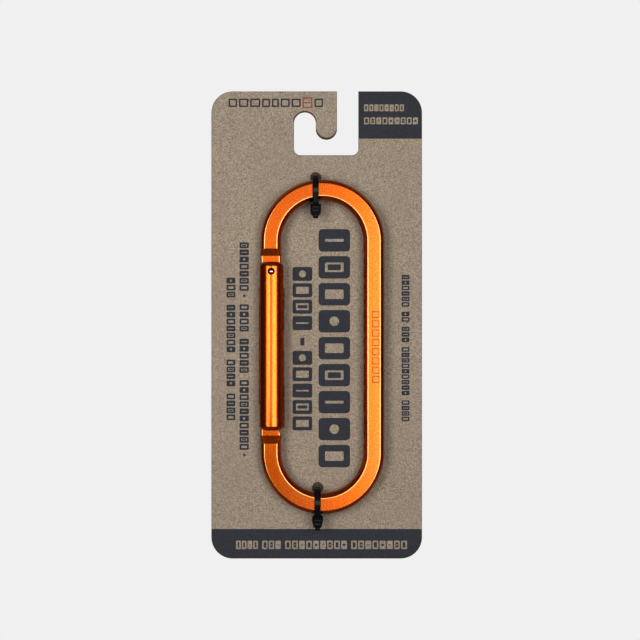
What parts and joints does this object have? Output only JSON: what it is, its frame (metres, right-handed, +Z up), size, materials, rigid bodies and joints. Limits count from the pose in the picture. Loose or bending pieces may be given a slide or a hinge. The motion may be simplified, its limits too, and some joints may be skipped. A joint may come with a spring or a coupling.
{
  "type": "carabiner on hang card",
  "caption": "Oval snap carabiner with a sprung gate that swings inwards, held by small cable ties on a die-cut hang card with a J-shaped peg slot.",
  "frame": {"origin": "centre of the peg notch's rounded top, halfway through the card", "axes": "+Z up as the card hangs, the printed face looks along -Y, +X to the right of that face"},
  "size_m": [0.089, 0.013, 0.1975],
  "materials": {
    "kraft_board": "uncoated brown kraft board with dark grey ink",
    "anodised_orange": "orange anodised, satin",
    "steel": "bright turned steel",
    "black_nylon": "moulded black nylon, low sheen"
  },
  "bodies": {
    "carded_body": {"hang_card": "kraft_board", "carabiner_body": "anodised_orange", "upper_cable_tie": "black_nylon", "lower_cable_tie": "black_nylon"},
    "gate": {"gate": "anodised_orange", "hinge_pin": "steel", "gate_spring": "steel"},
    "plunger": {"plunger": "steel"}
  },
  "joints": [
    {"name": "gate_hinge", "type": "hinge", "parent": "carded_body", "child": "gate", "pos_m": [-0.0138, -0.0059, -0.06295], "axis": [0, -1, 0], "range_deg": [0, 28], "stiffness_Nm_per_rad": 0.12, "springref_deg": -28.07},
    {"name": "plunger_slide", "type": "slide", "parent": "gate", "child": "plunger", "axis": [0, 0, -1], "range_m": [0, 0.0016], "deforming": ["gate_spring"]}
  ],
  "couplings": [
    {"joint": "plunger_slide", "follows": "gate_hinge", "m_per_rad": 0.0031}
  ]
}
